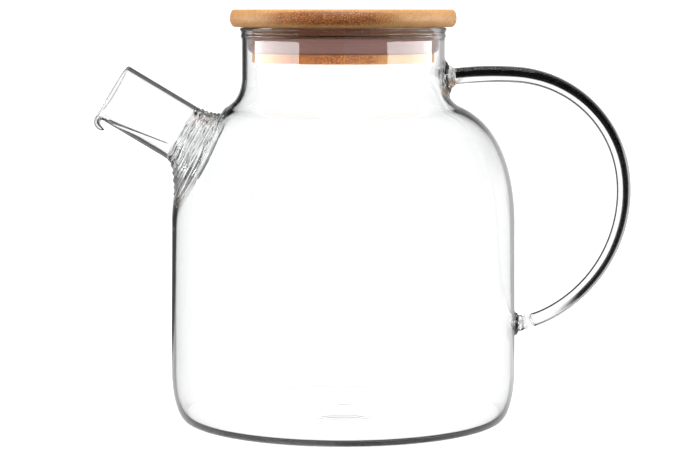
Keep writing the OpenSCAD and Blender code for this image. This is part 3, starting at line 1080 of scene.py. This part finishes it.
# and dark flags stand on both sides of the white wall, so glass edges read against it
def wmul(a, b):
    n = wt.nodes.new("ShaderNodeMath")
    n.operation = "MULTIPLY"
    W(a, n.inputs[0])
    W(b, n.inputs[1])
    return n.outputs[0]


flag_out = wrange(sx.outputs["Y"], 0.8, 0.87, 1.0, 0.1)
flag_in = wrange(sx.outputs["Y"], 0.925, 0.968, 0.0, 0.8)
front = wrange(sx.outputs["Y"], -0.5, 0.2, 0.26, 0.96)
keep = wt.nodes.new("ShaderNodeMath")
keep.operation = "MAXIMUM"
W(flag_out, keep.inputs[0])
W(flag_in, keep.inputs[1])
# the flag on the right stands further off, so the edges on that side are paler
right = wrange(sx.outputs["X"], 0.0, 0.1, 0.0, 0.45)
lift = wt.nodes.new("ShaderNodeMath")
lift.operation = "MAXIMUM"
W(keep.outputs[0], lift.inputs[0])
W(right, lift.inputs[1])
# a darker strip hangs above the white wall
above = wmul(wrange(sx.outputs["Z"], 0.04, 0.15, 0.0, 1.0), wrange(sx.outputs["Z"], 0.45, 0.7, 1.0, 0.0))
open_ = wt.nodes.new("ShaderNodeMath")
open_.operation = "MULTIPLY_ADD"
W(above, open_.inputs[0])
open_.inputs[1].default_value = -0.62
open_.inputs[2].default_value = 1.0
W(wmul(wmul(front, lift.outputs[0]), open_.outputs[0]), mirrored.inputs["Strength"])
low_z = wrange(sx.outputs["Z"], 0.12, 0.25, 1.0, 0.1)
inner_light = wmul(wrange(sx.outputs["X"], -0.02, 0.05, 0.03, 0.5), low_z)
W(inner_light, inside_.inputs["Strength"])


# what lights the bamboo: mostly from the sides and from above, little from the camera's side
def wadd(a, b):
    n = wt.nodes.new("ShaderNodeMath")
    n.operation = "ADD"
    for k, x in enumerate((a, b)):
        if isinstance(x, float):
            n.inputs[k].default_value = x
        else:
            W(x, n.inputs[k])
    return n.outputs[0]


side_x = wt.nodes.new("ShaderNodeMath")
side_x.operation = "ABSOLUTE"
W(sx.outputs["X"], side_x.inputs[0])
W(wadd(wadd(0.16, wrange(side_x.outputs[0], 0.3, 0.95, 0.0, 0.55)), wrange(sx.outputs["Z"], 0.1, 0.9, 0.0, 0.6)),
  fill.inputs["Strength"])
step = wmix(lp.outputs["Is Diffuse Ray"], seen, fill)
not_through = wt.nodes.new("ShaderNodeMath")
not_through.operation = "SUBTRACT"
not_through.inputs[0].default_value = 1.0
W(lp.outputs["Is Transmission Ray"], not_through.inputs[1])
step = wmix(wmul(lp.outputs["Is Glossy Ray"], not_through.outputs[0]), step, mirrored)
step = wmix(flagged(wt, lp), step, inside_)
W(step.outputs[0], wout.inputs["Surface"])


def softbox(name, loc, target, size, radiance, diffuse=True, glossy=True):
    d = bpy.data.lights.new(name, "AREA")
    d.shape = "RECTANGLE"
    d.size, d.size_y = size
    d.energy = radiance * math.pi * size[0] * size[1]
    o = bpy.data.objects.new(name, d)
    scene.collection.objects.link(o)
    o.location = loc
    o.rotation_euler = (Vector(target) - Vector(loc)).to_track_quat("-Z", "Y").to_euler()
    o.visible_camera = False
    o.visible_transmission = False
    o.visible_diffuse = diffuse
    o.visible_glossy = glossy
    return o


def only_on(light, pieces):
    lit = bpy.data.collections.new(light.name + "_on")
    for ob in pieces:
        lit.objects.link(ob)
    light.light_linking.receiver_collection = lit


# low, wide softboxes at the left and right give the upright bands in the neck
for side in (-1, 1):
    band_light = softbox(f"side_{'left' if side < 0 else 'right'}", (side * 0.7, -0.13, 0.163), (0, -0.13, 0.163),
                         (0.94, 0.116), 11.0, diffuse=False)
    only_on(band_light, (body, collar, spout, foot_u, foot_l, seal, disc, plug))
    softbox(f"fill_{'left' if side < 0 else 'right'}", (side * 0.9, -0.1, 0.35), (0, 0, 0.16), (0.7, 0.6), 2.9,
            glossy=False)
softbox("top", (0, -0.25, 1.3), (0, 0, 0.1), (0.9, 0.9), 3.4)
# a strip above and in front draws the satin line along the lid's upper edge
only_on(softbox("strip", (0, -0.85, 0.8), (0, 0, 0.165), (0.9, 0.16), 24.0, diffuse=False), (disc,))

# ------------------------------------------------------------------ which body each piece rides on
for ob in (body, collar, spout, foot_u, foot_l, loop):
    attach(ob, "pot")
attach(seal, "ring")
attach(disc, "lid")
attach(plug, "lid")
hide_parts("glass_body")
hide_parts("spout_collar")
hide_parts("spout_tube")
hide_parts("handle_tube")
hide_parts("handle_upper_foot")
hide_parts("handle_lower_foot")
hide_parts("lid_disc")
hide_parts("lid_plug")
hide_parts("lid_seal")
